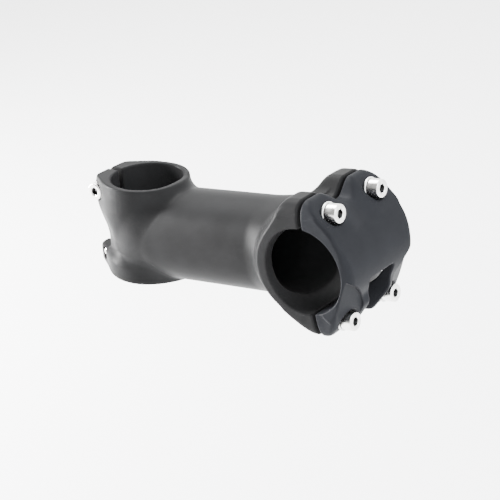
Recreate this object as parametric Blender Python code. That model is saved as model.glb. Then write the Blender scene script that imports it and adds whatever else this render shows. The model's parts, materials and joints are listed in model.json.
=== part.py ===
"""Threadless bicycle handlebar stem: forged body, bolted faceplate, cap screws and washers.

The sizes below are in millimetres and degrees, and MM turns them into the model's metres.
The origin is on the steerer axis, level with the steerer clamp's lower face. +X points
forward, towards the handlebar, and +Z points up the steerer.
"""

import math

import bpy
from mathutils import Matrix

MM = 0.001

# Extension: the hollow arm from the steerer clamp to the handlebar clamp
LENGTH = 90.0            # steerer axis to handlebar axis, along the arm
RISE = 7.0               # how far the arm climbs from square to the steerer
ROOT_HEIGHT = 16.6       # where the arm's axis crosses the steerer axis
ARM_RADIUS = 18.0
ARM_WALL = 3.0
DRAIN_RADIUS = 8.5       # opening from the arm's hollow into the steerer bore

# Steerer clamp
STEERER_RADIUS = 14.3    # 28.6 mm steerer tube
CLAMP_HEIGHT = 39.0
LUG_FLANK_ANGLE = 123.5  # direction that the pinch lugs' flanks face
SLOT_WIDTH = 2.0
PINCH_X = -19.5
PINCH_HEIGHTS = {"upper": 32.2, "lower": 4.7}
PINCH_SIDES = {"upper": -1, "lower": 1}
PINCH_SEAT = 6.0         # from the slot's middle to the screw head's seat
PINCH_SEAT_RADIUS = 4.0
BORE_CHAMFER = 0.6

# Handlebar clamp: the barrel that the body and the faceplate share
BAR_RADIUS = 15.9        # 31.8 mm handlebar
BARREL_RADIUS = 19.5
REAR_EDGE = 1.3          # rounding of the barrel's end edges behind the bar
FRONT_EDGE = 3.8         # and low in front of it
FRONT_EDGE_FACING = -40  # direction in which that rounding is largest
SADDLE_UPPER = 19.8      # the barrel's top between its lugs
SADDLE_LOWER = 22.9      # and its bottom
LUG_SIDE_HEIGHT = 18.9   # height at the barrel's two ends
LUG_INNER = 9.5          # the lugs are level from here, across the barrel
LUG_OUTER = 15.5         # to here
BARREL_WIDTH = 42.0
SEAM_BODY = 0.9          # the body stops this far ahead of the bar's axis
SEAM_FACEPLATE = 2.3     # and the faceplate starts here
SCREW_SPREAD = 13.0      # half the spacing across the barrel
SCREW_HEIGHT = 20.0      # half the spacing from top to bottom
SEAT = 8.2               # face of the screw seats, ahead of the bar's axis
POCKET_RADIUS = 4.2
SCOOP_RADIUS = 22.1      # round relief cut beside each lower screw
SCOOP_CENTRE = (15.2, 29.4, -14.6)
SCOOP_TILT = 24.0        # how far its floor faces down
SCOOP_YAW = 10.0         # and outwards
WINDOW_TOP_WIDTH = 15.6
WINDOW_BOTTOM_WIDTH = 7.2
WINDOW_TOP = -5.5
WINDOW_BOTTOM = -27.0    # below the faceplate, so the window is open underneath

# Tangent lines of the barrel's outline through the lugs: facing direction, distance from the axis
LUG_TANGENTS_UPPER = ((42, 20.6), (141.6, 19.2), (0, 15.4), (180, 15.0))
LUG_TANGENTS_LOWER = ((318, 21.2), (232.5, 19.4), (0, 15.6), (180, 11.8))
LUG_HEIGHT_UPPER = 25.4
LUG_HEIGHT_LOWER = 25.6
LUG_BULGE = 1.5          # how much further back the lugs reach at their crests than at their sides
LUG_FILL = 0.9           # how much further the lower lugs' slopes stand out in the barrel's middle
LUG_CORNER = 34          # the larger, the sharper the lugs' corners

# Steerer clamp's outline at each height: ring radius, flank distance, rear distance
CLAMP_STATIONS = (
    (0.0, 16.4, 17.0, 23.4),
    (1.0, 17.2, 17.9, 24.4),
    (2.4, 17.4, 18.1, 24.8),
    (4.6, 17.3, 18.1, 24.9),
    (6.4, 17.0, 18.0, 24.3),
    (7.4, 16.6, 17.4, 22.6),
    (8.1, 16.2, 16.4, 18.0),
    (9.8, 15.9, 15.9, 16.0),
    (15.0, 15.9, 15.9, 16.2),
    (18.0, 16.2, 16.3, 17.6),
    (21.5, 16.8, 17.2, 19.9),
    (25.0, 17.2, 17.9, 22.3),
    (28.0, 17.4, 18.1, 24.4),
    (31.0, 17.3, 18.1, 24.9),
    (34.5, 17.2, 18.0, 23.6),
    (37.8, 16.9, 17.8, 21.0),
    (38.6, 16.7, 17.5, 20.1),
    (39.0, 16.4, 17.0, 19.4),
)

# Arm's cross-sections: place along it, half width, half height, squareness
ARM_STATIONS = (
    (-8.0, 13.0, 11.5, 2.0),
    (-4.0, 15.2, 14.0, 2.0),
    (0.0, 16.5, 15.6, 2.0),
    (6.0, 17.5, 17.0, 2.0),
    (12.0, 17.9, 17.8, 2.0),
    (18.0, ARM_RADIUS, ARM_RADIUS, 2.0),
    (40.0, ARM_RADIUS, ARM_RADIUS, 2.0),
    (60.0, ARM_RADIUS, ARM_RADIUS, 2.0),
    (65.0, 18.4, 18.05, 2.06),
    (69.0, 19.3, 18.1, 2.15),
    (72.0, 20.2, 18.2, 2.3),
    (75.0, 20.6, 18.2, 2.4),
    (84.0, 20.6, 18.2, 2.4),
)

# Hollow inside the arm, opening into the handlebar bore
HOLLOW_STATIONS = (
    (20.2, 10.0, 10.0, 2.0),
    (22.0, 12.0, 12.0, 2.0),
    (26.0, ARM_RADIUS - ARM_WALL, ARM_RADIUS - ARM_WALL, 2.0),
    (62.0, ARM_RADIUS - ARM_WALL, ARM_RADIUS - ARM_WALL, 2.0),
    (70.0, 16.3, 14.8, 2.3),
    (76.0, 17.2, 14.3, 2.8),
    (88.0, 17.4, 14.2, 3.2),
)

# Screws (M4 socket cap) and washers
SCREW_RADIUS = 2.0
HEAD_RADIUS = 3.4
HEAD_HEIGHT = 4.4
FACE_SHANK = 15.0
PINCH_SHANK = 14.0
SOCKET_FLATS = 3.0
SOCKET_DEPTH = 2.2
WASHER_RADIUS = 3.9
WASHER_THICKNESS = 0.8
GAP = 0.3                # left between pieces that touch on the real stem
HOLE_RADIUS = SCREW_RADIUS + GAP

ROUND_SIDES = 56
BORE_SIDES = 60
SCREW_SIDES = 20

# Frames: the arm's own axes, and the same axes carried to the handlebar's centre
ARM_FRAME = Matrix.Translation((0, 0, ROOT_HEIGHT * MM)) @ Matrix.Rotation(-math.radians(RISE), 4, "Y")
BAR_FRAME = ARM_FRAME @ Matrix.Translation((LENGTH * MM, 0, 0))
STEERER_FRAME = Matrix.Identity(4)
# Turned shapes are drawn along their own +Z
ALONG_X = Matrix.Rotation(math.radians(90), 4, "Y")
ALONG_Y = Matrix.Rotation(math.radians(-90), 4, "X")


def clear_scene():
    for old in list(bpy.data.objects):
        bpy.data.objects.remove(old, do_unlink=True)


def material(name, colour, roughness, metallic):
    made = bpy.data.materials.new(name)
    made.use_nodes = True
    shader = made.node_tree.nodes["Principled BSDF"]
    shader.inputs["Base Color"].default_value = (*colour, 1.0)
    shader.inputs["Roughness"].default_value = roughness
    shader.inputs["Metallic"].default_value = metallic
    return made


def place(x, y, z):
    return Matrix.Translation((x * MM, y * MM, z * MM))


def solid(name, points, faces, frame, finish=None):
    """Mesh object from points in millimetres, placed by a frame."""
    mesh = bpy.data.meshes.new(name)
    mesh.from_pydata([[c * MM for c in point] for point in points], [], faces)
    mesh.update()
    made = bpy.data.objects.new(name, mesh)
    made.matrix_world = frame
    bpy.context.scene.collection.objects.link(made)
    if finish:
        mesh.materials.append(finish)
    return made


def loft(name, rings, frame, finish=None):
    """Closed skin through rings of equal count, anticlockwise about the way they advance."""
    count = len(rings[0])
    points = [point for ring in rings for point in ring]
    faces = [tuple(reversed(range(count)))]
    for row in range(len(rings) - 1):
        low = row * count
        for k in range(count):
            after = (k + 1) % count
            faces.append((low + k, low + after, low + count + after))
            faces.append((low + k, low + count + after, low + count + k))
    faces.append(tuple(range(len(points) - count, len(points))))
    return solid(name, points, faces, frame, finish)


def circle(radius, height, sides):
    steps = [2 * math.pi * k / sides for k in range(sides)]
    return [(radius * math.cos(a), radius * math.sin(a), height) for a in steps]


def turned(name, profile, sides, frame, finish=None):
    """Solid turned about its own Z from (radius, height) points, heights rising."""
    return loft(name, [circle(radius, height, sides) for radius, height in profile], frame, finish)


def box(name, low, high, frame):
    xs, ys, zs = zip(low, high)
    rings = [[(xs[0], ys[0], z), (xs[1], ys[0], z), (xs[1], ys[1], z), (xs[0], ys[1], z)] for z in zs]
    return loft(name, rings, frame)


def combine(target, tool, operation):
    """Boolean that keeps its tool as a hidden guide."""
    tool.hide_render = True
    tool.display_type = "WIRE"
    step = target.modifiers.new(f"{operation.title()} {tool.name}", "BOOLEAN")
    step.operation = operation
    step.solver = "EXACT"
    step.object = tool


def shade(piece, angle=32):
    piece.data.shade_smooth()
    piece.data.set_sharp_from_angle(angle=math.radians(angle))


def smoothstep(low, high, value):
    t = min(1.0, max(0.0, (value - low) / (high - low)))
    return t * t * (3 - 2 * t)


def tangent_radius(angle, tangents, corner):
    """Radius at an angle of the convex outline that the tangent lines hold."""
    total = 0.0
    for direction, distance in tangents:
        facing = math.cos(angle - math.radians(direction))
        if facing > 0:
            total += (facing / distance) ** corner
    return total ** (-1 / corner) if total else 0.0


def superellipse(half_width, half_height, squareness, along, sides):
    """Ring across the arm at one place along it."""
    ring = []
    for k in range(sides):
        a = 2 * math.pi * k / sides
        y = half_width * math.copysign(abs(math.cos(a)) ** (2 / squareness), math.cos(a))
        z = half_height * math.copysign(abs(math.sin(a)) ** (2 / squareness), math.sin(a))
        ring.append((along, y, z))
    return ring


def arm_loft(name, stations, sides, frame, finish=None):
    rings = [superellipse(width, height, power, along, sides) for along, width, height, power in stations]
    return loft(name, rings, frame, finish)


def quarter_round(value, start, end):
    """1 up to the start, then down a quarter of an ellipse to 0 at the end."""
    t = min(1.0, max(0.0, (value - start) / (end - start)))
    return math.sqrt(1 - t * t)


def lug_height(side, saddle, crest):
    """Height of a lug's top above the bar's axis, at a distance from the barrel's middle."""
    if side < LUG_OUTER:
        return saddle + (crest - saddle) * smoothstep(1.0, LUG_INNER, side)
    return LUG_SIDE_HEIGHT + (crest - LUG_SIDE_HEIGHT) * quarter_round(side, LUG_OUTER, BARREL_WIDTH / 2)


def barrel_radius(angle, y):
    """The barrel's outer radius: a round core with four lugs that rise clear of its middle."""
    side = abs(y)
    upper = math.sin(angle) > 0
    half = BARREL_WIDTH / 2
    bulge = LUG_BULGE * quarter_round(side, SCREW_SPREAD, half)
    if upper:
        slopes = LUG_TANGENTS_UPPER
        lift = smoothstep(0.0, 9.0, side) - 1
        tangents = [(90, lug_height(side, SADDLE_UPPER, LUG_HEIGHT_UPPER))]
    else:
        slopes = LUG_TANGENTS_LOWER
        lift = LUG_FILL * (1 - smoothstep(6.0, 11.0, side))
        tangents = [(270, lug_height(side, SADDLE_LOWER, LUG_HEIGHT_LOWER))]
    for direction, distance in slopes:
        behind = 90 < direction < 270
        tangents.append((direction, distance + lift + (bulge if behind else 0)))
    radius = max(BARREL_RADIUS, tangent_radius(angle, tangents, LUG_CORNER))
    low_front = math.cos(angle - math.radians(FRONT_EDGE_FACING))
    edge = REAR_EDGE + (FRONT_EDGE - REAR_EDGE) * smoothstep(0.2, 0.9, low_front)
    return radius - edge * (1 - quarter_round(side, half - 1.2 * edge, half))


def barrel(name, frame, finish=None):
    """The whole handlebar clamp, before it is split into body and faceplate."""
    half = BARREL_WIDTH / 2
    inner = [0.0, 2.0, 4.0, 5.5, 7.0, 8.5, 10.5, 12.5, LUG_OUTER]
    outer = [LUG_OUTER + (half - LUG_OUTER) * math.sin(math.radians(a)) for a in (20, 38, 52, 64, 76, 90)]
    positive = inner + outer
    stations = [-y for y in reversed(positive[1:])] + positive
    rings = []
    for y in stations:
        ring = []
        for k in range(ROUND_SIDES):
            a = -2 * math.pi * (k + 0.5) / ROUND_SIDES
            radius = barrel_radius(a % (2 * math.pi), y)
            ring.append((radius * math.cos(a), y, radius * math.sin(a)))
        rings.append(ring)
    return loft(name, rings, frame, finish)


def steerer_clamp(name, finish):
    """Ring round the steerer with an upper and a lower pinch lug behind it."""
    rings = []
    for height, ring_radius, flank, rear in CLAMP_STATIONS:
        tangents = [(180, rear)]
        for side in (-1, 1):
            tangents.append((side * LUG_FLANK_ANGLE, flank))
            tangents += [(side * 104, ring_radius + 0.2), (side * 84, ring_radius)]
        ring = []
        for k in range(ROUND_SIDES):
            a = 2 * math.pi * k / ROUND_SIDES
            behind = math.cos(a) < 0
            radius = max(ring_radius, tangent_radius(a, tangents, 30)) if behind else ring_radius
            ring.append((radius * math.cos(a), radius * math.sin(a), height))
        rings.append(ring)
    return loft(name, rings, STEERER_FRAME, finish)


def steerer_bore():
    flare = STEERER_RADIUS + BORE_CHAMFER + 1
    profile = (
        (flare, -1.0),
        (STEERER_RADIUS, BORE_CHAMFER),
        (STEERER_RADIUS, CLAMP_HEIGHT - BORE_CHAMFER),
        (flare, CLAMP_HEIGHT + 1.0),
    )
    return turned("cut steerer bore", profile, BORE_SIDES, STEERER_FRAME)


def bar_bore(name):
    half = BARREL_WIDTH / 2
    chamfer = 0.4
    profile = (
        (BAR_RADIUS + chamfer + 1, -half - 1),
        (BAR_RADIUS, -half + chamfer),
        (BAR_RADIUS, half - chamfer),
        (BAR_RADIUS + chamfer + 1, half + 1),
    )
    return turned(name, profile, BORE_SIDES, BAR_FRAME @ ALONG_Y)


def face_screw_places():
    """Name, across and up position of each faceplate screw, in the handlebar frame."""
    for level, z in (("upper", SCREW_HEIGHT), ("lower", -SCREW_HEIGHT)):
        for side, y in (("right", -SCREW_SPREAD), ("left", SCREW_SPREAD)):
            yield f"{level}_{side}", y, z


def cut_screw_holes(target, rear, front):
    """Clearance holes for the four faceplate screws, from rear to front of the bar's axis."""
    for label, y, z in face_screw_places():
        profile = ((HOLE_RADIUS, rear), (HOLE_RADIUS, front))
        frame = BAR_FRAME @ place(0, y, z) @ ALONG_X
        combine(target, turned(f"cut {target.name} {label}", profile, SCREW_SIDES, frame), "DIFFERENCE")


def cut_pinch_lugs(body):
    """Slot behind the steerer, and a screw hole and head seat across each lug."""
    half = SLOT_WIDTH / 2
    slot = box("cut slot", (-30, -half, -1), (-8, half, CLAMP_HEIGHT + 1), STEERER_FRAME)
    combine(body, slot, "DIFFERENCE")
    for level, height in PINCH_HEIGHTS.items():
        frame = place(PINCH_X, 0, height) @ (ALONG_Y if PINCH_SIDES[level] > 0 else ALONG_Y.inverted())
        hole = turned(f"cut pinch hole {level}", ((HOLE_RADIUS, -16), (HOLE_RADIUS, 16)), SCREW_SIDES, frame)
        combine(body, hole, "DIFFERENCE")
        profile = ((PINCH_SEAT_RADIUS, PINCH_SEAT), (PINCH_SEAT_RADIUS, 18))
        seat = turned(f"cut pinch seat {level}", profile, SCREW_SIDES + 8, frame)
        combine(body, seat, "DIFFERENCE")


def stem_body(finish):
    """Forged body: steerer clamp, hollow arm and the rear half of the handlebar clamp."""
    body = steerer_clamp("stem_body", finish)
    combine(body, arm_loft("add arm", ARM_STATIONS, 48, ARM_FRAME), "UNION")
    combine(body, barrel("add barrel", BAR_FRAME), "UNION")
    ahead = box("cut ahead of seam", (SEAM_BODY, -30, -40), (40, 30, 40), BAR_FRAME)
    combine(body, ahead, "DIFFERENCE")
    combine(body, bar_bore("cut bar bore body"), "DIFFERENCE")
    combine(body, arm_loft("cut hollow", HOLLOW_STATIONS, 40, ARM_FRAME), "DIFFERENCE")
    drain = turned("cut drain", ((DRAIN_RADIUS, 6), (DRAIN_RADIUS, 23)), 36, ARM_FRAME @ ALONG_X)
    combine(body, drain, "DIFFERENCE")
    combine(body, steerer_bore(), "DIFFERENCE")
    cut_screw_holes(body, -20, SEAM_BODY + 2)
    cut_pinch_lugs(body)
    shade(body)
    return body


def cut_pockets(plate):
    """Round seats for the four screws, with a scoop beside each lower one."""
    for label, y, z in face_screw_places():
        frame = BAR_FRAME @ place(0, y, z) @ ALONG_X
        pocket = turned(f"cut pocket {label}", ((POCKET_RADIUS, SEAT), (POCKET_RADIUS, 30)), 28, frame)
        combine(plate, pocket, "DIFFERENCE")
    tilt = Matrix.Rotation(math.radians(SCOOP_TILT), 4, "Y")
    depth, across, up = SCOOP_CENTRE
    for side in (-1, 1):
        yaw = Matrix.Rotation(side * math.radians(SCOOP_YAW), 4, "Z")
        frame = BAR_FRAME @ tilt @ place(depth, side * across, up) @ yaw @ ALONG_X
        scoop = turned(f"cut scoop {side}", ((SCOOP_RADIUS, 0), (SCOOP_RADIUS, 14)), 36, frame)
        combine(plate, scoop, "DIFFERENCE")


def cut_window(plate):
    """Opening through the plate's lower front, between the lower screws."""
    corner = 1.6
    wide, narrow = WINDOW_TOP_WIDTH / 2 - corner, WINDOW_BOTTOM_WIDTH / 2 - corner
    low, high = WINDOW_BOTTOM + corner, WINDOW_TOP - corner
    outline = []
    for across, up, start in ((wide, high, 0), (-wide, high, 90), (-narrow, low, 180), (narrow, low, 270)):
        for step in range(5):
            a = math.radians(start + 22.5 * step)
            outline.append((across + corner * math.cos(a), up + corner * math.sin(a)))
    rings = [[(along, y, z) for y, z in outline] for along in (4.0, 30.0)]
    combine(plate, loft("cut window", rings, BAR_FRAME), "DIFFERENCE")


def faceplate(finish):
    """Front half of the handlebar clamp."""
    plate = barrel("faceplate", BAR_FRAME, finish)
    behind = box("cut behind seam", (-40, -30, -40), (SEAM_FACEPLATE, 30, 40), BAR_FRAME)
    combine(plate, behind, "DIFFERENCE")
    combine(plate, bar_bore("cut bar bore faceplate"), "DIFFERENCE")
    cut_pockets(plate)
    cut_window(plate)
    cut_screw_holes(plate, SEAM_FACEPLATE - 2, SEAT + 2)
    shade(plate)
    return plate


def cap_screw(name, shank, frame, finish):
    """Socket cap screw along its own Z, with the head's underside at the origin."""
    top = HEAD_HEIGHT
    profile = (
        (SCREW_RADIUS - 0.5, -shank),
        (SCREW_RADIUS, -shank + 0.6),
        (SCREW_RADIUS, 0.0),
        (HEAD_RADIUS, 0.0),
        (HEAD_RADIUS, top - 0.4),
        (HEAD_RADIUS - 0.4, top),
    )
    screw = turned(name, profile, SCREW_SIDES, frame, finish)
    socket = SOCKET_FLATS / math.sqrt(3)
    hexagon = turned(f"cut socket {name}", ((socket, top - SOCKET_DEPTH), (socket, top + 1)), 6, frame)
    combine(screw, hexagon, "DIFFERENCE")
    shade(screw)
    return screw


def washer(name, frame, finish):
    """Flat washer along its own Z, resting on the origin."""
    outer, inner, thick, edge = WASHER_RADIUS, HOLE_RADIUS, WASHER_THICKNESS, 0.15
    profile = ((inner, thick), (inner, 0), (outer - edge, 0), (outer, edge),
               (outer, thick - edge), (outer - edge, thick))
    sides = 24
    points = [point for radius, height in profile for point in circle(radius, height, sides)]
    faces = []
    for row in range(len(profile)):
        low = row * sides
        high = (row + 1) % len(profile) * sides
        for k in range(sides):
            after = (k + 1) % sides
            faces.append((low + k, low + after, high + after, high + k))
    made = solid(name, points, faces, frame, finish)
    shade(made)
    return made


def face_screws(steel, zinc):
    """A screw and a washer for each of the faceplate's four holes."""
    for label, y, z in face_screw_places():
        seat = BAR_FRAME @ place(SEAT + GAP, y, z) @ ALONG_X
        washer(f"face_washer_{label}", seat, zinc)
        head = seat @ place(0, 0, WASHER_THICKNESS + GAP)
        cap_screw(f"face_screw_{label}", FACE_SHANK, head, steel)


def pinch_screws(steel):
    """One screw through each pinch lug, put in from opposite sides."""
    for level, height in PINCH_HEIGHTS.items():
        turn = ALONG_Y if PINCH_SIDES[level] > 0 else ALONG_Y.inverted()
        frame = place(PINCH_X, 0, height) @ turn @ place(0, 0, PINCH_SEAT + GAP)
        cap_screw(f"pinch_screw_{level}", PINCH_SHANK, frame, steel)


def main():
    clear_scene()
    stem_body(material("body_black", (0.035, 0.035, 0.037), 0.42, 0.55))
    faceplate(material("faceplate_black", (0.037, 0.037, 0.04), 0.40, 0.55))
    steel = material("screw_steel", (0.72, 0.72, 0.70), 0.22, 1.0)
    zinc = material("washer_steel", (0.66, 0.66, 0.65), 0.3, 1.0)
    face_screws(steel, zinc)
    pinch_screws(steel)


main()
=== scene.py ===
"""Bicycle handlebar stem: fine meshes, materials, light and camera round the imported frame.

The body and the faceplate are skins of smooth solids, described by signed fields: a field is
negative inside its solid, positive outside, and close to a distance near the surface. Fields
join and cut one another with round edges, and surface_net() turns the result into a mesh.
The screws and washers are lofted ring by ring.

Lengths are millimetres until a mesh is made, and MM turns them into the frame's metres.
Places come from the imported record's joints and mounts, and from the CAD nodes' boxes.
"""

import json
import math

import bpy
import numpy as np
from mathutils import Matrix, Vector


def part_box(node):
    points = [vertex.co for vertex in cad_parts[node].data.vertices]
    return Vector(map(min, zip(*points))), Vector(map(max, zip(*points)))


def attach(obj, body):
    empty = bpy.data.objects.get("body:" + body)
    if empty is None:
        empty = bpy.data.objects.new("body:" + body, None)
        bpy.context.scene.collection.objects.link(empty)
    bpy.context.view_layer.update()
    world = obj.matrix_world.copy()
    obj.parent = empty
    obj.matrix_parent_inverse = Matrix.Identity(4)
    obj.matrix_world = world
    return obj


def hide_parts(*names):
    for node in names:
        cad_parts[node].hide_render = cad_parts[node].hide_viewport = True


MM = 0.001

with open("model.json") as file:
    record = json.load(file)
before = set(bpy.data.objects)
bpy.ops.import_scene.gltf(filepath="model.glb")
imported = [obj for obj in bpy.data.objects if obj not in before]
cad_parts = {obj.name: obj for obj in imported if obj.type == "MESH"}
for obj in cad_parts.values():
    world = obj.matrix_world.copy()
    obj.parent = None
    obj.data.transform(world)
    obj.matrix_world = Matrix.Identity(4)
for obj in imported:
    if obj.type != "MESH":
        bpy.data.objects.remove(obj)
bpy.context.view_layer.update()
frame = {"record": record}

JOINTS = {joint["name"]: joint for joint in frame["record"]["behaviour"]["joints"]}
MOUNTS = {mount["name"]: mount for mount in frame["record"]["mounts"]}
SCREW_LABELS = ("upper_right", "upper_left", "lower_right", "lower_left")
PINCH_LABELS = ("upper", "lower")


def millimetres(point):
    return np.array(point, float) / MM


# Directions of the arm: along it towards the bar, to the rider's left, and up across it
ALONG = np.array(JOINTS["faceplate_lift_off"]["axis"], float)
LEFT = np.array((0.0, 1.0, 0.0))
UP = np.cross(ALONG, LEFT)

# Underside of each faceplate screw's head, and the bar's centre behind the four of them
HEAD_SEAT = 9.6
FACE_SCREWS = {label: millimetres(JOINTS[f"screw_{label}_turn"]["pos_m"]) for label in SCREW_LABELS}
BAR = sum(FACE_SCREWS.values()) / 4 - HEAD_SEAT * ALONG
CLAMP_HEIGHT = millimetres(MOUNTS["spacer_face_top"]["pos_m"])[2]
BARREL_HALF = millimetres(MOUNTS["bar_side_left"]["pos_m"])[1]
ARM_LENGTH = BAR[0] / ALONG[0]

# Sizes shared with the CAD solids
STEERER_RADIUS = 14.3
BAR_RADIUS = 15.9
ARM_RADIUS = 18.0
HOLLOW_RADIUS = 15.0
DRAIN_RADIUS = 8.5
SLOT_HALF = 1.0
HOLE_RADIUS = 2.3
SCREW_RADIUS = 2.0
HEAD_RADIUS = 3.4
HEAD_HEIGHT = 4.4
FACE_SHANK = 15.0
PINCH_SHANK = 14.0
THREAD_PITCH = 0.7
THREAD_DEPTH = 0.36
SOCKET_FLATS = 3.0
SOCKET_DEPTH = 2.2
HEAD_SIDES = 48
WASHER_RADIUS = 3.9
WASHER_THICKNESS = 0.8
SEAT = 8.2
POCKET_RADIUS = 4.2
PINCH_SEAT = 6.0
PINCH_SEAT_RADIUS = 4.0
SEAM_BODY = 0.9
SEAM_FACEPLATE = 2.3

# Clearance under each screw's head and under each washer
GAP = 0.3

# Arm: where it starts to flare and where it has flared, its round root, and its hollow's start
FLARE_START = 61
FLARE_END = 77
ROOT_END = 14
ROOT_LENGTH = 30
HOLLOW_START = 20.2

# Fillets where the arm meets the steerer clamp, at its rear and how much more at its front,
# and where it meets the handlebar clamp
ARM_FILLET = 0.5
ARM_FILLET_GROWTH = 3.8
CLAMP_FILLET = 4.5

# Handlebar clamp: roundings of its ends, the larger one in the direction that it faces
REAR_EDGE = 1.3
FRONT_EDGE = 3.8
FRONT_EDGE_FACING = math.radians(-40)

# Its outline: a round core, and lugs that are level between two places across it
BARREL_RADIUS = 19.5
SADDLE_UPPER = 19.8
SADDLE_LOWER = 22.9
LUG_SIDE_HEIGHT = 18.9
LUG_INNER = 9.5
LUG_OUTER = 15.5
LUG_BULGE = 1.5
BULGE_OUTER = 13.0
LOWER_FILL = 0.9

# The larger, the sharper the lugs' corners and their meeting with the core
LUG_CORNER = 34
OUTLINE_BLEND = 40

# Lines that the lugs' outline touches: facing direction, distance from the bar's axis
LUG_TANGENTS_UPPER = ((42, 20.6), (141.6, 19.2), (0, 15.4), (180, 15.0))
LUG_TANGENTS_LOWER = ((318, 21.2), (232.5, 19.4), (0, 15.6), (180, 11.8))
LUG_HEIGHT_UPPER = 25.4
LUG_HEIGHT_LOWER = 25.6

# Relief beside each lower screw: centre of its floor, and how far its floor faces down and outwards
SCOOP_CENTRE = (15.2, 29.4, -14.6)
SCOOP_RADIUS = 22.1
SCOOP_TILT = math.radians(24)
SCOOP_YAW = math.radians(10)

# Window's upper and lower end: height and half width
WINDOW_TOP = (-5.5, 7.8)
WINDOW_BOTTOM = (-27.0, 3.6)

# Steerer clamp at each height: reach of the upper lug to the rear and to its flank, and of the ring
UPPER_LUG_REAR = ((0, 15.5), (11, 15.9), (15, 16.2), (18, 17.6), (21.5, 19.9), (25, 22.3),
                  (28, 24.3), (31, 24.9), (34.5, 23.6), (37.8, 21.0), (39, 19.6))
UPPER_LUG_FLANK = ((0, 15.9), (15, 15.9), (18, 16.3), (21.5, 17.2), (25, 17.9), (28, 18.1), (39, 17.8))
RING_RADIUS = ((0, 17.3), (8, 17.2), (11, 15.9), (15, 15.9), (21.5, 16.8), (28, 17.3),
               (34, 17.2), (39, 16.7))
LUG_FLANK_ANGLE = 123.5
LOWER_LUG_REAR = 24.9
LOWER_LUG_FLANK = 18.1
LOWER_LUG_HEIGHT = 7.7

# Grid steps of the two skins
BODY_STEP = 0.6
FACEPLATE_STEP = 0.45

# Painted shade inside the screws' sockets: a dark colour standing in for the shadow in the recess
SOCKET_SHADE_COLOUR = (0.14, 0.14, 0.14)

# Lighting: the surroundings' brightness, and how dim they are in one direction
WORLD_STRENGTH = 5.0
WORLD_DIM_STRENGTH = 0.5
WORLD_DIM_AZIMUTH = -38
WORLD_DIM_ELEVATION = 18

# Camera: where it looks from, how it is rolled, and the point it looks at
CAMERA_AZIMUTH = 39.5
CAMERA_ELEVATION = 24.51
CAMERA_ROLL = math.radians(3.87)
CAMERA_DISTANCE = 501.3
CAMERA_TARGET = (49.46, 0, 18.6)
CAMERA_LENS = 96.0
CAMERA_SENSOR = 36.0


# Fields and how they combine ---------------------------------------------------------------

def join(a, b, radius):
    """Union of two fields with a fillet of this radius in the inner corner."""
    near = np.hypot(np.maximum(radius - a, 0), np.maximum(radius - b, 0))
    return np.maximum(radius, np.minimum(a, b)) - near


def common(a, b, radius):
    """What two fields share, with its edge rounded to this radius."""
    return -join(-a, -b, radius)


def cut(a, b, radius):
    """The first field without the second, with the cut's edge rounded to this radius."""
    return common(a, -b, radius)


def step_between(low, high, value):
    """0 up to the low value, 1 from the high one, and a smooth step between them."""
    t = np.clip((value - low) / (high - low), 0, 1)
    return t * t * (3 - 2 * t)


def quarter_round(value, start, end):
    """1 up to the start, then down a quarter of an ellipse to 0 at the end."""
    t = np.clip((value - start) / (end - start), 0, 1)
    return np.sqrt(1 - t * t)


def curve(points, value, softness=2.5):
    """Reads a curve through (place, height) points, with its corners softened over a length."""
    places, heights = zip(*points)
    fine = np.arange(places[0] - softness, places[-1] + softness, 0.1)
    window = np.hanning(round(softness / 0.1) + 2)
    soft = np.convolve(np.pad(np.interp(fine, places, heights), len(window), "edge"),
                       window / window.sum(), "same")[len(window):-len(window)]
    return np.interp(value, fine, soft)


def tangent_outline(angle, tangents, corner):
    """Radius at each angle of the convex outline held by (degrees, distance) tangent lines."""
    total = 0
    for direction, distance in tangents:
        facing = np.cos(angle - math.radians(direction))
        total = total + (np.maximum(facing, 1e-6) / distance) ** corner
    return total ** (-1 / corner)


def polar_field(radius_at, r, angle, along):
    """Field of a solid whose radius depends on the angle and on the place along its axis."""
    radius = radius_at(angle, along)
    slope = (radius_at(angle, along + 0.05) - radius) / 0.05
    turn = (radius_at(angle + 0.004, along) - radius) / 0.004 / radius
    return (r - radius) / np.sqrt(1 + slope ** 2 + turn ** 2)


def superellipse_field(y, z, width, height, power):
    """Field of an endless tube: an ellipse at power 2, squarer above."""
    reach = (np.abs(y / width) ** power + np.abs(z / height) ** power) ** (1 / power)
    return (reach - 1) * np.minimum(width, height)


def arm_axes(p):
    """Coordinates along the arm from the bar's centre, across it, and up."""
    q = p - BAR
    return q @ ALONG, p[:, 1], q @ UP


# The body ----------------------------------------------------------------------------------

def lug_height(side, saddle, crest):
    """Height of the clamp's top above the bar's axis: a saddle, a flat lug, a rounded outer end."""
    inner = saddle + (crest - saddle) * step_between(1.0, LUG_INNER, side)
    outer = LUG_SIDE_HEIGHT + (crest - LUG_SIDE_HEIGHT) * quarter_round(side, LUG_OUTER, BARREL_HALF)
    return np.where(side < LUG_OUTER, inner, outer)


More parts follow.
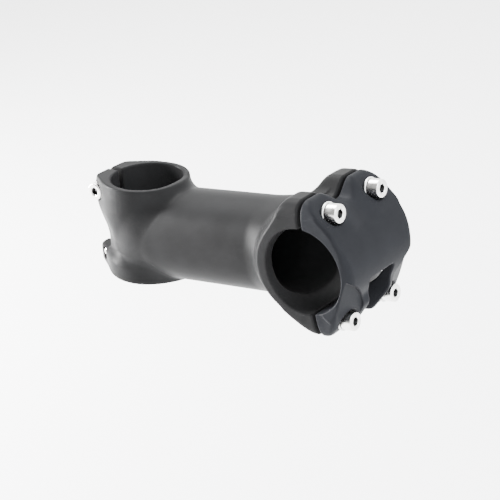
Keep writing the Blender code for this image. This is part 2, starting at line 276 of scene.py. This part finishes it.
def barrel_radius(angle, v):
    """The handlebar clamp's outer radius: a round core with four lugs that rise clear of its middle."""
    side = np.abs(v)
    upper = np.sin(angle) > 0
    rise = step_between(0, 9, side) - 1
    fill = LOWER_FILL - LOWER_FILL * step_between(6, 11, side)
    bulge = LUG_BULGE * quarter_round(side, BULGE_OUTER, BARREL_HALF)
    high = lug_height(side, SADDLE_UPPER, LUG_HEIGHT_UPPER)
    low = lug_height(side, SADDLE_LOWER, LUG_HEIGHT_LOWER)
    radius = 0
    for slopes, direction, height, lift, here in (
            (LUG_TANGENTS_UPPER, 90, high, rise, upper), (LUG_TANGENTS_LOWER, 270, low, fill, ~upper)):
        tangents = [(direction, height)]
        for facing, distance in slopes:
            tangents.append((facing, distance + lift + (bulge if 90 < facing < 270 else 0)))
        radius = radius + np.where(here, tangent_outline(angle, tangents, LUG_CORNER), 0)
    return (BARREL_RADIUS ** OUTLINE_BLEND + radius ** OUTLINE_BLEND) ** (1 / OUTLINE_BLEND)


def barrel(u, v, w):
    """The handlebar clamp's outline, running on past both of its ends.

    Its last section is taken just inside each end, because the lugs grow too steep at the end.
    """
    last = BARREL_HALF - 0.5
    return polar_field(barrel_radius, np.hypot(u, w), np.arctan2(w, u), np.clip(v, -last, last))


def end_faces(solid, u, v, w):
    """Cuts a solid off at the handlebar clamp's two side faces."""
    low_front = np.cos(np.arctan2(w, u) - FRONT_EDGE_FACING)
    edge = REAR_EDGE + (FRONT_EDGE - REAR_EDGE) * step_between(0.2, 0.9, low_front)
    return common(solid, np.abs(v) - BARREL_HALF, edge)


def arm(u, v, w):
    """The arm, from its rounded root inside the clamp to its flare at the handlebar."""
    along = u + ARM_LENGTH
    flare = step_between(FLARE_START, FLARE_END, along)
    root = np.maximum(ROOT_END - along, 0) / ROOT_LENGTH
    width, height = ARM_RADIUS + 2.6 * flare, ARM_RADIUS + 0.2 * flare
    tube = superellipse_field(v, w, width, height, 2 + 0.5 * flare)
    dome = (np.sqrt((v / ARM_RADIUS) ** 2 + (w / ARM_RADIUS) ** 2 + root ** 2) - 1) * ARM_RADIUS
    return np.maximum(np.where(along < ROOT_END, dome, tube), along - ARM_LENGTH + 6)


def arm_hollow(u, v, w):
    """Space inside the arm, widening into the bar's bore, with a drain into the steerer's bore."""
    along = u + ARM_LENGTH
    mouth = step_between(FLARE_START + 1, FLARE_END + 1, along)
    width, height = HOLLOW_RADIUS + 2.4 * mouth, HOLLOW_RADIUS - 0.8 * mouth
    tube = superellipse_field(v, w, width, height, 2 + 1.2 * mouth)
    hollow = common(tube, HOLLOW_START - along, 6)
    drain = common(np.hypot(v, w) - DRAIN_RADIUS, 6 - along, 0.5)
    return join(hollow, common(drain, along - 24, 0.5), 1.5)


def ring_outline(angle, z, rear, flank):
    """Radius of the steerer clamp's ring, with a lug of this reach to the rear and to its flanks."""
    ring = curve(RING_RADIUS, z)
    tangents = [(180, rear)]
    for side in (-1, 1):
        tangents += [(side * LUG_FLANK_ANGLE, flank), (side * 104, ring + 0.2), (side * 84, ring)]
    outline = np.maximum(ring, tangent_outline(angle, tangents, 30))
    return np.where(np.cos(angle) < 0, outline, ring)


def upper_clamp_radius(angle, z):
    return ring_outline(angle, z, curve(UPPER_LUG_REAR, z), curve(UPPER_LUG_FLANK, z))


def lower_clamp_radius(angle, z):
    return ring_outline(angle, z, LOWER_LUG_REAR, LOWER_LUG_FLANK)


def steerer_clamp(x, y, z):
    """The ring round the steerer with its two lugs, running on below its lower face."""
    r, angle = np.hypot(x, y), np.arctan2(y, x)
    upper = polar_field(upper_clamp_radius, r, angle, z)
    lower = common(polar_field(lower_clamp_radius, r, angle, z), z - LOWER_LUG_HEIGHT, 1.8)
    return common(join(upper, lower, 2.5), z - CLAMP_HEIGHT, 0.6)


def pinch_place(level):
    """X and Z of a pinch screw's axis, and the side that its head is on."""
    low, high = (millimetres(corner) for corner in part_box(f"pinch_screw_{level}"))
    side = JOINTS[f"pinch_screw_{level}_out"]["axis"][1]
    return (low[0] + high[0]) / 2, (low[2] + high[2]) / 2, side


PINCH_PLACES = {level: pinch_place(level) for level in PINCH_LABELS}


def screw_holes(v, w, radius):
    """Holes of one radius along the four faceplate screws' axes."""
    holes = np.inf
    for place in FACE_SCREWS.values():
        _, across, up = arm_axes(place[None])
        holes = np.minimum(holes, np.hypot(v - across, w - up) - radius)
    return holes


def body_field(p):
    """The forged body. The arm's fillet grows from the clamp's rear to its front."""
    x, y, z = p.T
    u, v, w = arm_axes(p)
    fillet = ARM_FILLET + ARM_FILLET_GROWTH * step_between(-10, 8, x)
    outside = common(join(steerer_clamp(x, y, z), arm(u, v, w), fillet), -z, 1.3)
    outside = end_faces(join(outside, barrel(u, v, w), CLAMP_FILLET), u, v, w)
    outside = common(outside, u - SEAM_BODY, 0.7)
    body = cut(outside, np.hypot(x, y) - STEERER_RADIUS, 0.55)
    body = cut(body, np.hypot(u, w) - BAR_RADIUS, 0.5)
    body = cut(body, np.maximum(arm_hollow(u, v, w), u - 1), 0.6)
    body = cut(body, np.maximum(screw_holes(v, w, HOLE_RADIUS), -20 - u), 0.3)
    body = cut(body, np.maximum(np.abs(y) - SLOT_HALF, x + 8), 0.35)
    for centre_x, centre_z, side in PINCH_PLACES.values():
        r = np.hypot(x - centre_x, z - centre_z)
        body = cut(body, r - HOLE_RADIUS, 0.3)
        body = cut(body, common(r - PINCH_SEAT_RADIUS, PINCH_SEAT - side * y, 0.2), 0.35)
    return body


# The faceplate -----------------------------------------------------------------------------

def scoops(u, v, w):
    """Round reliefs beside the lower screws, their floors facing down and outwards."""
    depth, across, up = SCOOP_CENTRE
    along = u * math.cos(SCOOP_TILT) - w * math.sin(SCOOP_TILT) - depth
    above = u * math.sin(SCOOP_TILT) + w * math.cos(SCOOP_TILT) - up
    aside = np.abs(v) - across
    floor = along * math.cos(SCOOP_YAW) + aside * math.sin(SCOOP_YAW)
    across_floor = aside * math.cos(SCOOP_YAW) - along * math.sin(SCOOP_YAW)
    return common(np.hypot(across_floor, above) - SCOOP_RADIUS, -floor, 0.6)


def window(u, v, w):
    """Opening that narrows downwards and runs out under the faceplate."""
    (top, wide), (bottom, narrow) = WINDOW_TOP, WINDOW_BOTTOM
    half = narrow + (wide - narrow) * (w - bottom) / (top - bottom)
    opening = common(np.abs(v) - half, np.abs(w - (top + bottom) / 2) - (top - bottom) / 2, 1.6)
    return np.maximum(opening, 4 - u)


def faceplate_field(p):
    u, v, w = arm_axes(p)
    plate = common(end_faces(barrel(u, v, w), u, v, w), SEAM_FACEPLATE - u, 0.8)
    plate = cut(plate, scoops(u, v, w), 0.35)
    plate = cut(plate, np.hypot(u, w) - BAR_RADIUS, 0.5)
    pockets = common(screw_holes(v, w, POCKET_RADIUS), SEAT - u, 0.25)
    plate = cut(plate, pockets, 0.5)
    plate = cut(plate, window(u, v, w), 0.6)
    return cut(plate, np.maximum(screw_holes(v, w, HOLE_RADIUS), 1 - u), 0.3)


# Meshes from fields ------------------------------------------------------------------------

def gradient(field, p, reach=0.03):
    """Direction in which a field grows fastest, and its rate, at each point."""
    parts = []
    for axis in np.eye(3) * reach:
        parts.append((field(p + axis) - field(p - axis)) / (2 * reach))
    return np.stack(parts, -1)


def settle(field, p, step, rounds):
    """Moves points onto the field's surface."""
    for _ in range(rounds):
        slope = gradient(field, p)
        move = field(p)[:, None] * slope / np.maximum((slope ** 2).sum(1), 0.05)[:, None]
        length = np.linalg.norm(move, axis=1)[:, None]
        p = p - move * np.minimum(1, 0.5 * step / np.maximum(length, 1e-9))
    return p


def even_out(p, quads, strength):
    """Moves each point towards the middle of its neighbours."""
    total, count = np.zeros_like(p), np.zeros(len(p))
    for here, there in ((0, 1), (1, 2), (2, 3), (3, 0)):
        for a, b in ((here, there), (there, here)):
            for axis in range(3):
                total[:, axis] += np.bincount(quads[:, a], p[quads[:, b], axis], len(p))
            count += np.bincount(quads[:, a], minlength=len(p))
    return p + strength * (total / count[:, None] - p)


def crossings(values, origin, step):
    """One point for each cell that the surface passes through: the mean of its edge crossings."""
    inside = values < 0
    cells = tuple(n - 1 for n in values.shape)
    total, count = np.zeros(cells + (3,)), np.zeros(cells)
    base = np.stack(np.meshgrid(*[np.arange(n) for n in cells], indexing="ij"), -1)
    for axis in range(3):
        others = [k for k in range(3) if k != axis]
        for first in (0, 1):
            for second in (0, 1):
                start = [0, 0, 0]
                start[others[0]], start[others[1]] = first, second
                end = list(start)
                end[axis] = 1
                corner_a = tuple(slice(s, s + n) for s, n in zip(start, cells))
                corner_b = tuple(slice(s, s + n) for s, n in zip(end, cells))
                crossed = inside[corner_a] != inside[corner_b]
                a, b = values[corner_a][crossed], values[corner_b][crossed]
                offset = np.array(start, float) + np.outer(a / (a - b), np.eye(3)[axis])
                total[crossed] += base[crossed] + offset
                count[crossed] += 1
    mixed = count > 0
    index = np.full(cells, -1)
    index[mixed] = np.arange(mixed.sum())
    return index, total[mixed] / count[mixed][:, None] * step + origin


def surface_quads(values, index):
    """A quad round each grid edge that the surface crosses, facing outwards."""
    inside = values < 0
    quads = []
    for axis in range(3):
        first, second = (1, 2, 0, 1)[axis:axis + 2]
        low = [slice(1, -1)] * 3
        high = [slice(1, -1)] * 3
        low[axis], high[axis] = slice(0, -1), slice(1, None)
        here, there = inside[tuple(low)], inside[tuple(high)]
        for leaving in (True, False):
            places = np.argwhere((here != there) & (here == leaving))
            places[:, first] += 1
            places[:, second] += 1
            ring = []
            for back_first, back_second in ((1, 1), (0, 1), (0, 0), (1, 0)):
                cell = places.copy()
                cell[:, first] -= back_first
                cell[:, second] -= back_second
                ring.append(index[tuple(cell.T)])
            quads.append(np.stack(ring if leaving else ring[::-1], -1))
    return np.concatenate(quads)


def surface_net(field, low, high, step):
    """Even quads over a field's surface, with each point's exact normal."""
    counts = np.ceil((high - low) / step).astype(int) + 1
    grid = np.stack(np.meshgrid(*[np.arange(n) * step for n in counts], indexing="ij"), -1)
    values = field(grid.reshape(-1, 3) + low).reshape(counts)
    index, points = crossings(values, low, step)
    quads = surface_quads(values, index)
    points = settle(field, points, step, 2)
    for _ in range(3):
        points = settle(field, even_out(points, quads, 0.6), step, 1)
    points = settle(field, points, step, 2)
    normals = gradient(field, points)
    return points, quads, normals / np.linalg.norm(normals, axis=1)[:, None]


def new_piece(name, points, faces, material):
    """Smooth mesh object from points in millimetres."""
    mesh = bpy.data.meshes.new(name)
    mesh.from_pydata((np.asarray(points) * MM).tolist(), [], [list(face) for face in faces])
    mesh.materials.append(material)
    mesh.shade_smooth()
    piece = bpy.data.objects.new(name, mesh)
    bpy.context.scene.collection.objects.link(piece)
    return piece


def skin(name, field, node, step, material):
    """Piece whose surface is a field's, built round a CAD node's box."""
    low, high = (millimetres(corner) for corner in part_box(node))
    points, quads, normals = surface_net(field, low - 3 * step, high + 3 * step, step)
    piece = new_piece(name, points, quads.tolist(), material)
    piece.data.normals_split_custom_set_from_vertices(normals.tolist())
    return piece


# Turned pieces -----------------------------------------------------------------------------

def spin_frame(origin, axis):
    """Matrix that carries a piece turned about +Z to an origin, with +Z along an axis."""
    turn = Vector((0, 0, 1)).rotation_difference(Vector(axis)).to_matrix().to_4x4()
    return Matrix.Translation(Vector(origin)) @ turn


def turned(name, rings, sides, matrix, material, closed=False):
    """Piece lofted through (radius function or number, height) rings, then placed by a matrix."""
    angles = np.arange(sides) * 2 * math.pi / sides
    points = []
    for radius, height in rings:
        reach = radius(angles) if callable(radius) else np.full(sides, radius)
        points += [(r * math.cos(a), r * math.sin(a), height) for r, a in zip(reach, angles)]
    faces = []
    for row in range(len(rings) if closed else len(rings) - 1):
        low, high = row * sides, (row + 1) % len(rings) * sides
        for k in range(sides):
            after = (k + 1) % sides
            faces.append((low + k, low + after, high + after, high + k))
    if not closed:
        faces.append(tuple(reversed(range(sides))))
        faces.append(tuple(range(len(points) - sides, len(points))))
    placed = [tuple(matrix @ Vector(point)) for point in points]
    piece = new_piece(name, placed, faces, material)
    piece.data.set_sharp_from_angle(angle=math.radians(28))
    return piece


def arc(centre, radius, start, end, steps):
    """Points of a circular arc in (radius, height), by degrees."""
    turns = np.radians(np.linspace(start, end, steps))
    return [(centre[0] + radius * math.cos(t), centre[1] + radius * math.sin(t)) for t in turns]


def thread_rings(low, high):
    """Rings of a single-start thread, its crest fading out at both ends."""
    rings = []
    for height in np.arange(low, high, THREAD_PITCH / 8):
        fade = min(1, (height - low) / THREAD_PITCH, (high - height) / THREAD_PITCH)

        def radius(angles, height=height, fade=fade):
            phase = (height / THREAD_PITCH - angles / (2 * math.pi)) % 1
            ridge = np.clip(1.3 - 3.2 * np.abs(phase - 0.5), 0, 1)
            return SCREW_RADIUS - THREAD_DEPTH * (1 - ridge * fade)

        rings.append((radius, height))
    return rings


def hexagon(flats):
    """Radius function of a hexagon, this wide across its flats."""
    def radius(angles):
        return flats / 2 / np.cos((angles + math.pi / 6) % (math.pi / 3) - math.pi / 6)
    return radius


def cap_screw(name, shank, matrix, material):
    """Socket cap screw with its head's underside at the origin: point, thread, head, socket.

    A float attribute is 1 inside the socket, where it marks painted shade: a dark colour standing in for
    the socket's shadow.
    """
    core = SCREW_RADIUS - THREAD_DEPTH
    edge, foot = 0.5, 0.15
    floor = HEAD_HEIGHT - SOCKET_DEPTH
    rings = [(core - 0.7, -shank), (core - 0.6, -shank)]
    rings += thread_rings(-shank + 0.4, -1.2)
    rings += [(core, -1.15), (SCREW_RADIUS, -0.8), (SCREW_RADIUS, -0.02)]
    rings += [(HEAD_RADIUS - foot, 0), (HEAD_RADIUS, foot)]
    rings += arc((HEAD_RADIUS - edge, HEAD_HEIGHT - edge), edge, 0, 90, 6)
    rings += [
        (SOCKET_FLATS / math.sqrt(3) + 0.2, HEAD_HEIGHT - 0.01),
        (hexagon(SOCKET_FLATS + 0.12), HEAD_HEIGHT - 0.2),
    ]
    # Points from here on lie inside the socket and get painted shade
    unshaded_points = len(rings) * HEAD_SIDES
    rings += [
        (hexagon(SOCKET_FLATS), HEAD_HEIGHT - 0.3),
        (hexagon(SOCKET_FLATS), floor + 0.1),
        (hexagon(SOCKET_FLATS - 0.2), floor),
        (1.5, floor),
        (0.15, floor - 0.7),
    ]
    screw = turned(name, rings, HEAD_SIDES, matrix, material)
    # Painted shade: the socket's points are marked for a dark colour in place of the recess's shadow
    socket_shade = np.zeros(len(screw.data.vertices))
    socket_shade[unshaded_points:] = 1
    screw.data.attributes.new("socket_shade", "FLOAT", "POINT").data.foreach_set("value", socket_shade)
    return screw


def washer(name, matrix, material):
    """Flat stamped washer resting on the origin, with rounded edges."""
    edge, thick = 0.3, WASHER_THICKNESS
    inner, outer = HOLE_RADIUS, WASHER_RADIUS
    profile = arc((outer - edge, edge), edge, -90, 0, 5)
    profile += arc((outer - edge, thick - edge), edge, 0, 90, 5)
    profile += arc((inner + 0.15, thick - 0.15), 0.15, 90, 180, 3)
    profile += arc((inner + 0.15, 0.15), 0.15, 180, 270, 3)
    return turned(name, profile, 64, matrix, material, closed=True)


# Materials ---------------------------------------------------------------------------------

class Nodes:
    """A material's node tree, with short ways to add and link nodes."""

    def __init__(self, name):
        self.material = bpy.data.materials.new(name)
        self.material.use_nodes = True
        self.tree = self.material.node_tree
        self.shader = self.tree.nodes["Principled BSDF"]
        self.place = self.add("ShaderNodeTexCoord").outputs["Object"]

    def add(self, kind, **settings):
        node = self.tree.nodes.new(kind)
        for key, value in settings.items():
            setattr(node, key, value)
        return node

    def link(self, source, target):
        self.tree.links.new(source, target)

    def noise(self, scale, detail=3.0, roughness=0.5):
        """Noise texture whose features are scale-per-metre small."""
        node = self.add("ShaderNodeTexNoise")
        self.link(self.place, node.inputs["Vector"])
        node.inputs["Scale"].default_value = scale
        node.inputs["Detail"].default_value = detail
        node.inputs["Roughness"].default_value = roughness
        return node.outputs["Fac"]

    def spread(self, source, low, high, to_low, to_high):
        """Maps a source's range onto another."""
        node = self.add("ShaderNodeMapRange")
        self.link(source, node.inputs["Value"])
        ends = {"From Min": low, "From Max": high, "To Min": to_low, "To Max": to_high}
        for socket, value in ends.items():
            node.inputs[socket].default_value = value
        return node.outputs["Result"]

    def blend(self, factor, first, second):
        """Mix of two colours, each a tuple or another node's output."""
        node = self.add("ShaderNodeMix", data_type="RGBA")
        self.link(factor, node.inputs["Factor"])
        for socket, colour in (("A", first), ("B", second)):
            if isinstance(colour, tuple):
                node.inputs[socket].default_value = (*colour, 1)
            else:
                self.link(colour, node.inputs[socket])
        return node.outputs["Result"]

    def bump(self, heights):
        """Bump from (height output, depth in metres) pairs, chained."""
        normal = None
        for height, depth in heights:
            node = self.add("ShaderNodeBump")
            node.inputs["Strength"].default_value = 1.0
            node.inputs["Distance"].default_value = depth
            self.link(height, node.inputs["Height"])
            if normal:
                self.link(normal, node.inputs["Normal"])
            normal = node.outputs["Normal"]
        self.link(normal, self.shader.inputs["Normal"])


def black_finish(name, dark, light):
    """Satin black over a fine blasted grain."""
    nodes = Nodes(name)
    patches = nodes.noise(90, 4)
    grain = nodes.noise(5200, 2, 0.6)
    specks = nodes.noise(1500, 3)
    nodes.link(nodes.blend(nodes.spread(patches, 0.35, 0.65, 0, 1), dark, light),
               nodes.shader.inputs["Base Color"])
    nodes.link(nodes.spread(patches, 0.3, 0.7, 0.38, 0.43), nodes.shader.inputs["Roughness"])
    nodes.bump([(grain, 0.000010), (specks, 0.000012)])
    nodes.shader.inputs["Specular IOR Level"].default_value = 0.017
    return nodes.material


def steel_finish(name, colour, roughness):
    """Bright plated steel with faint turning marks and stains, and painted shade, a dark colour, inside the
    screws' sockets.
    """
    nodes = Nodes(name)
    stains = nodes.noise(420, 4)
    marks = nodes.noise(3800, 2, 0.7)
    darker = tuple(0.86 * c for c in colour)
    plated = nodes.blend(nodes.spread(stains, 0.35, 0.65, 0, 1), darker, colour)
    # Painted shade: where the socket attribute is set, the steel's colour turns dark in place of the
    # socket's shadow
    socket_shade = nodes.add("ShaderNodeAttribute", attribute_name="socket_shade").outputs["Fac"]
    nodes.link(nodes.blend(socket_shade, plated, SOCKET_SHADE_COLOUR), nodes.shader.inputs["Base Color"])
    nodes.link(nodes.spread(stains, 0.3, 0.7, roughness, roughness + 0.1), nodes.shader.inputs["Roughness"])
    nodes.bump([(marks, 0.000008)])
    nodes.shader.inputs["Metallic"].default_value = 1.0
    return nodes.material


def floor_finish():
    """Matt white with a barely uneven tone."""
    nodes = Nodes("floor white")
    tone = nodes.noise(3, 2)
    nodes.link(nodes.blend(tone, (0.9, 0.9, 0.9), (0.92, 0.92, 0.92)), nodes.shader.inputs["Base Color"])
    nodes.shader.inputs["Roughness"].default_value = 0.9
    return nodes.material


# Assembly ----------------------------------------------------------------------------------

def install(piece, body, node):
    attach(piece, body)
    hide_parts(node)


def build_object():
    body_black = black_finish("black body", (0.0090, 0.0090, 0.0092), (0.0108, 0.0108, 0.0111))
    body = skin("body_skin", body_field, "stem_body", BODY_STEP, body_black)
    install(body, "stem", "stem_body")
    plate_black = black_finish("black faceplate", (0.0088, 0.0092, 0.0106), (0.0105, 0.011, 0.0126))
    plate = skin("faceplate_skin", faceplate_field, "faceplate", FACEPLATE_STEP, plate_black)
    install(plate, "faceplate", "faceplate")
    steel = steel_finish("screw steel", (0.76, 0.75, 0.73), 0.2)
    zinc = steel_finish("washer steel", (0.68, 0.68, 0.67), 0.28)
    for label, place in FACE_SCREWS.items():
        screw = cap_screw(f"cap_screw_{label}", FACE_SHANK, spin_frame(place, ALONG), steel)
        install(screw, f"screw_{label}", f"face_screw_{label}")
        rest = spin_frame(place - (HEAD_SEAT - SEAT - GAP) * ALONG, ALONG)
        install(washer(f"flat_washer_{label}", rest, zinc), f"washer_{label}", f"face_washer_{label}")
    for level, (x, z, side) in PINCH_PLACES.items():
        matrix = spin_frame((x, side * (PINCH_SEAT + GAP), z), (0, side, 0))
        screw = cap_screw(f"clamp_screw_{level}", PINCH_SHANK, matrix, steel)
        install(screw, f"pinch_screw_{level}", f"pinch_screw_{level}")


def build_floor():
    """White sheet below the object; its half width and its drop are in metres."""
    half, drop = 3.0, 0.15
    corners = [(x * half, y * half, -drop) for x, y in ((-1, -1), (1, -1), (1, 1), (-1, 1))]
    mesh = bpy.data.meshes.new("floor")
    mesh.from_pydata(corners, [], [(0, 1, 2, 3)])
    mesh.materials.append(floor_finish())
    floor = bpy.data.objects.new("floor", mesh)
    bpy.context.scene.collection.objects.link(floor)


def view_axes(azimuth, elevation):
    """Direction back from the target to a viewer, and the viewer's right."""
    a, e = math.radians(azimuth), math.radians(elevation)
    back = Vector((math.sin(a) * math.cos(e), -math.cos(a) * math.cos(e), math.sin(e)))
    return back, Vector((math.cos(a), math.sin(a), 0))


def aimed(back, right, target, distance):
    """Matrix of a lamp or camera at a distance back from the target that it faces."""
    axes = Matrix((right, back.cross(right), back)).transposed().to_4x4()
    return Matrix.Translation(target + back * distance) @ axes


def soft_light(name, azimuth, elevation, distance, size, power, tint=(1, 1, 1)):
    """Rectangular area light that faces the object from a direction, with its size in metres."""
    data = bpy.data.lights.new(name, "AREA")
    data.shape = "RECTANGLE"
    data.size, data.size_y = size
    data.energy = power
    data.color = tint
    light = bpy.data.objects.new(name, data)
    target = Vector((ARM_LENGTH * MM / 2, 0, 0.02))
    light.matrix_world = aimed(*view_axes(azimuth, elevation), target, distance)
    bpy.context.scene.collection.objects.link(light)


def build_world():
    """White surroundings, dark in one direction so that the arm's near side reflects less of them."""
    world = bpy.data.worlds.new("studio")
    world.use_nodes = True
    tree = world.node_tree
    background = tree.nodes["Background"]
    facing = tree.nodes.new("ShaderNodeVectorMath")
    facing.operation = "DOT_PRODUCT"
    facing.inputs[1].default_value = view_axes(WORLD_DIM_AZIMUTH, WORLD_DIM_ELEVATION)[0]
    tree.links.new(tree.nodes.new("ShaderNodeTexCoord").outputs["Generated"], facing.inputs[0])
    shade = tree.nodes.new("ShaderNodeMapRange")
    shade.interpolation_type = "SMOOTHSTEP"
    ends = {"From Min": 0.45, "From Max": 0.85, "To Min": WORLD_STRENGTH, "To Max": WORLD_DIM_STRENGTH}
    for socket, value in ends.items():
        shade.inputs[socket].default_value = value
    tree.links.new(facing.outputs["Value"], shade.inputs["Value"])
    tree.links.new(shade.outputs["Result"], background.inputs["Strength"])
    background.inputs["Color"].default_value = (1, 1, 1, 1)
    bpy.context.scene.world = world


def build_lights():
    soft_light("overhead softbox", -108, 52, 0.9, (0.5, 0.4), 16)
    soft_light("rear edge strip", -72, 6, 0.8, (0.1, 0.5), 60)
    soft_light("front fill", 85, 35, 1.0, (0.5, 0.5), 10, (0.85, 0.92, 1))


def build_camera():
    """Long-lens view from the front right and above, slightly rolled."""
    data = bpy.data.cameras.new("camera")
    data.lens = CAMERA_LENS
    data.sensor_width = CAMERA_SENSOR
    data.clip_start = 0.01
    camera = bpy.data.objects.new("camera", data)
    back, level = view_axes(CAMERA_AZIMUTH, CAMERA_ELEVATION)
    right = level * math.cos(CAMERA_ROLL) - back.cross(level) * math.sin(CAMERA_ROLL)
    camera.matrix_world = aimed(back, right, Vector(CAMERA_TARGET) * MM, CAMERA_DISTANCE * MM)
    bpy.context.scene.collection.objects.link(camera)
    bpy.context.scene.camera = camera


build_object()
build_floor()
build_world()
build_lights()
build_camera()
